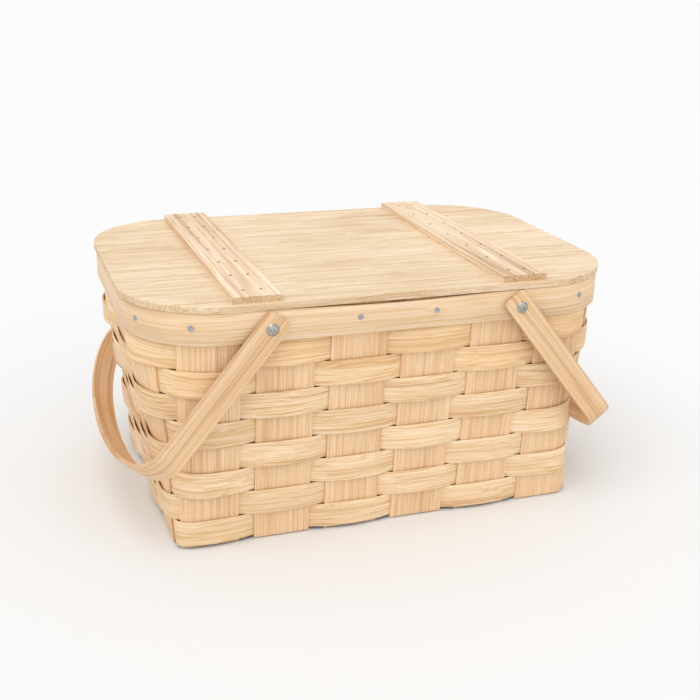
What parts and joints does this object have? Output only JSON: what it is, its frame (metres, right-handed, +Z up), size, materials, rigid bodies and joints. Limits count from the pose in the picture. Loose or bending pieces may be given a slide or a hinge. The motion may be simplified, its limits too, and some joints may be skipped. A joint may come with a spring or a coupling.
{
  "type": "picnic basket",
  "caption": "Splint-woven picnic basket with a rounded board lid on rear hinges, lid battens, a bentwood rim and swing handles that fold down over the ends.",
  "frame": {"origin": "on the surface that the basket stands on, under the middle of the basket", "axes": "+X along the basket's length towards the right handle, +Y towards the hinged back, +Z up"},
  "size_m": [0.5096, 0.3465, 0.2482],
  "materials": {
    "upright_splint": "bare ash splint, fine straight grain, matte",
    "weaver_splint": "bare ash splint, pale, open grain, matte",
    "rim_wood": "bent ash hoop, smooth, satin",
    "lid_wood": "pale board with fine flecks, satin",
    "batten_wood": "straight-grained strip, slightly pink, matte",
    "handle_wood": "steam-bent strip, smooth, satin",
    "nail_steel": "dull galvanised",
    "bolt_steel": "bright plated domed head",
    "hinge_steel": "dull plated sheet"
  },
  "bodies": {
    "basket": {"rim_hoop": "rim_wood", "rim_lining": "rim_wood", "long_upright_1": "upright_splint", "long_upright_2": "upright_splint", "long_upright_3": "upright_splint", "long_upright_4": "upright_splint", "long_upright_5": "upright_splint", "long_upright_6": "upright_splint", "cross_upright_1": "upright_splint", "cross_upright_2": "upright_splint", "cross_upright_3": "upright_splint", "cross_upright_4": "upright_splint", "weaver_row_1": "weaver_splint", "weaver_row_2": "weaver_splint", "weaver_row_3": "weaver_splint", "weaver_row_4": "weaver_splint", "weaver_row_5": "weaver_splint", "weaver_row_6": "weaver_splint", "weaver_row_7": "weaver_splint", "weaver_row_8": "weaver_splint", "rim_tacks": "nail_steel", "handle_bolts": "bolt_steel", "handle_nuts": "bolt_steel", "handle_spacers": "bolt_steel", "left_hinge_rim_leaf": "hinge_steel", "right_hinge_rim_leaf": "hinge_steel", "hinge_pins": "hinge_steel", "hinge_rim_screws": "nail_steel"},
    "lid": {"lid_board": "lid_wood", "left_batten": "batten_wood", "right_batten": "batten_wood", "batten_nails": "nail_steel", "left_hinge_lid_leaf": "hinge_steel", "right_hinge_lid_leaf": "hinge_steel", "hinge_lid_screws": "nail_steel"},
    "left_handle": {"left_handle": "handle_wood"},
    "right_handle": {"right_handle": "handle_wood"}
  },
  "joints": [
    {"name": "lid_hinge", "type": "hinge", "parent": "basket", "child": "lid", "pos_m": [0, 0.171, 0.2332], "axis": [-1, 0, 0], "range_deg": [0, 100]},
    {"name": "left_handle_swing", "type": "hinge", "parent": "basket", "child": "left_handle", "pos_m": [-0.12, 0, 0.219], "axis": [0, 1, 0], "range_deg": [-3, 168]},
    {"name": "right_handle_swing", "type": "hinge", "parent": "basket", "child": "right_handle", "pos_m": [0.12, 0, 0.219], "axis": [0, -1, 0], "range_deg": [-3, 168]}
  ]
}
